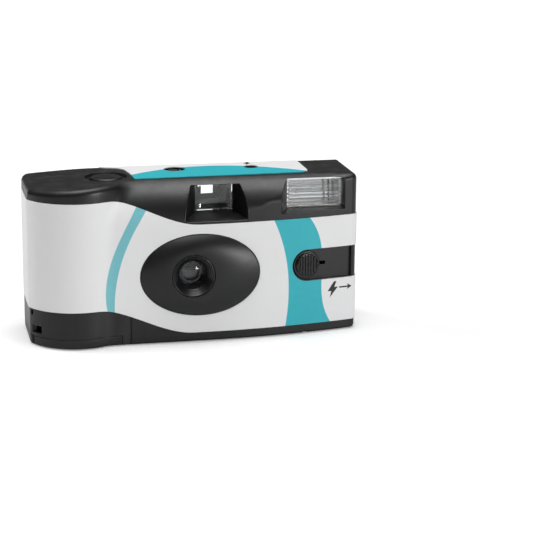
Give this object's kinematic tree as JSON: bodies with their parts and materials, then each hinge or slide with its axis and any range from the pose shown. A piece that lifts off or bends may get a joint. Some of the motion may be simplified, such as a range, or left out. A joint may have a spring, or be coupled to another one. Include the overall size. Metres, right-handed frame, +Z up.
{
  "type": "disposable film camera",
  "caption": "Disposable 35 mm film camera with built-in flash, black snapped plastic body, white and teal card label, thumbwheel, flash slider and bottom film door.",
  "frame": {"origin": "middle of the floor box under the camera", "axes": "+X to the right as seen from the front, +Y to the back, +Z up; the lens looks along -Y"},
  "size_m": [0.118, 0.0376, 0.0573],
  "materials": {
    "black_plastic": "satin, fine spark grain",
    "inner_plastic": "matt",
    "card": "gloss varnish over print",
    "clear_plastic": "clear",
    "lens": "clear, polished",
    "glass": "clear",
    "steel": "bright",
    "blackened_steel": "matt",
    "tinplate": "printed",
    "felt": "pile",
    "film": "gloss",
    "bright_aluminium": "polished",
    "board": "bare laminate",
    "capacitor_sleeve": "shrink sleeve",
    "yellow_tape": "tape",
    "copper": "enamelled wire",
    "lamp": "clear",
    "brass": "bright",
    "cell_jacket": "satin"
  },
  "bodies": {
    "camera": {"front_cover": "black_plastic", "rear_cover": "black_plastic", "front_label": "card", "top_label": "card", "release_spring": "steel", "counter_window": "clear_plastic", "flash_window": "clear_plastic", "finder_front_lens": "clear_plastic", "finder_rear_lens": "clear_plastic", "finder_tube": "inner_plastic", "lens_ring": "black_plastic", "taking_lens": "lens", "lens_retainer": "inner_plastic", "aperture_plate": "steel", "shutter_spring": "steel", "hammer_spring": "steel", "chassis": "inner_plastic", "cassette_shell": "tinplate", "cassette_caps": "inner_plastic", "light_trap": "felt", "film_strip": "film", "flash_reflector": "bright_aluminium", "flash_tube": "glass", "tube_electrodes": "steel", "circuit_board": "board", "flash_capacitor": "capacitor_sleeve", "transformer": "yellow_tape", "trigger_coil": "copper", "ready_lamp": "lamp", "sync_contact": "brass", "battery_cell": "cell_jacket", "positive_contact": "brass", "negative_contact": "brass"},
    "button": {"release_button": "black_plastic"},
    "slider": {"flash_slider": "black_plastic", "slider_contact": "brass"},
    "winding": {"thumbwheel": "black_plastic", "cassette_spool": "inner_plastic"},
    "sprocket": {"sprocket_shaft": "inner_plastic"},
    "counter": {"counter_dial": "inner_plastic"},
    "supply": {"supply_spool": "inner_plastic", "film_roll": "film"},
    "blade": {"shutter_blade": "blackened_steel"},
    "hammer": {"hammer": "inner_plastic"},
    "lever": {"metering_lever": "inner_plastic"},
    "pawl": {"pawl": "inner_plastic"},
    "door": {"film_door": "black_plastic"}
  },
  "joints": [
    {"name": "button_press", "type": "slide", "parent": "camera", "child": "button", "axis": [0, 0, -1], "range_m": [0, 0.0012], "stiffness_N_per_m": 500, "springref_m": -0.0006, "deforming": ["release_spring"]},
    {"name": "slider_travel", "type": "slide", "parent": "camera", "child": "slider", "axis": [0.9835, 0.1808, 0], "range_m": [0, 0.011]},
    {"name": "wheel_turn", "type": "hinge", "parent": "camera", "child": "winding", "pos_m": [-0.0414, 0, 0.0495], "axis": [0, 0, 1], "continuous": true},
    {"name": "sprocket_turn", "type": "hinge", "parent": "camera", "child": "sprocket", "pos_m": [-0.0238, 0.009, 0.0393], "axis": [0, 0, 1], "continuous": true},
    {"name": "counter_turn", "type": "hinge", "parent": "camera", "child": "counter", "pos_m": [-0.011, 0.0065, 0.0514], "axis": [0, 0, 1], "continuous": true},
    {"name": "supply_turn", "type": "hinge", "parent": "camera", "child": "supply", "pos_m": [0.031, 0.0064, 0.0246], "axis": [0, 0, 1], "continuous": true},
    {"name": "blade_swing", "type": "hinge", "parent": "camera", "child": "blade", "pos_m": [0.006, -0.0095, 0.032], "axis": [0, -1, 0], "range_deg": [0, 35], "stiffness_Nm_per_rad": 0.0002, "springref_deg": -20.05},
    {"name": "hammer_swing", "type": "hinge", "parent": "camera", "child": "hammer", "pos_m": [-0.0104, -0.0093, 0.038], "axis": [0, -1, 0], "range_deg": [0, 12], "stiffness_Nm_per_rad": 0.001, "springref_deg": -20.05},
    {"name": "lever_swing", "type": "hinge", "parent": "camera", "child": "lever", "pos_m": [-0.0175, 0.0005, 0.0487], "axis": [0, 0, -1], "range_deg": [0, 8], "stiffness_Nm_per_rad": 0.0005, "springref_deg": -9.74},
    {"name": "pawl_swing", "type": "hinge", "parent": "camera", "child": "pawl", "pos_m": [-0.0235, -0.008, 0.0506], "axis": [0, 0, 1], "range_deg": [0, 8], "stiffness_Nm_per_rad": 0.0005, "springref_deg": -9.74},
    {"name": "door_swing", "type": "hinge", "parent": "camera", "child": "door", "pos_m": [-0.0414, 0.0154, 0.0015], "axis": [1, 0, 0], "range_deg": [0, 85]}
  ],
  "couplings": [
    {"joint": "sprocket_turn", "follows": "wheel_turn", "ratio": 1.3228},
    {"joint": "supply_turn", "follows": "wheel_turn", "ratio": 0.9302},
    {"joint": "counter_turn", "follows": "wheel_turn", "ratio": -0.04134}
  ]
}
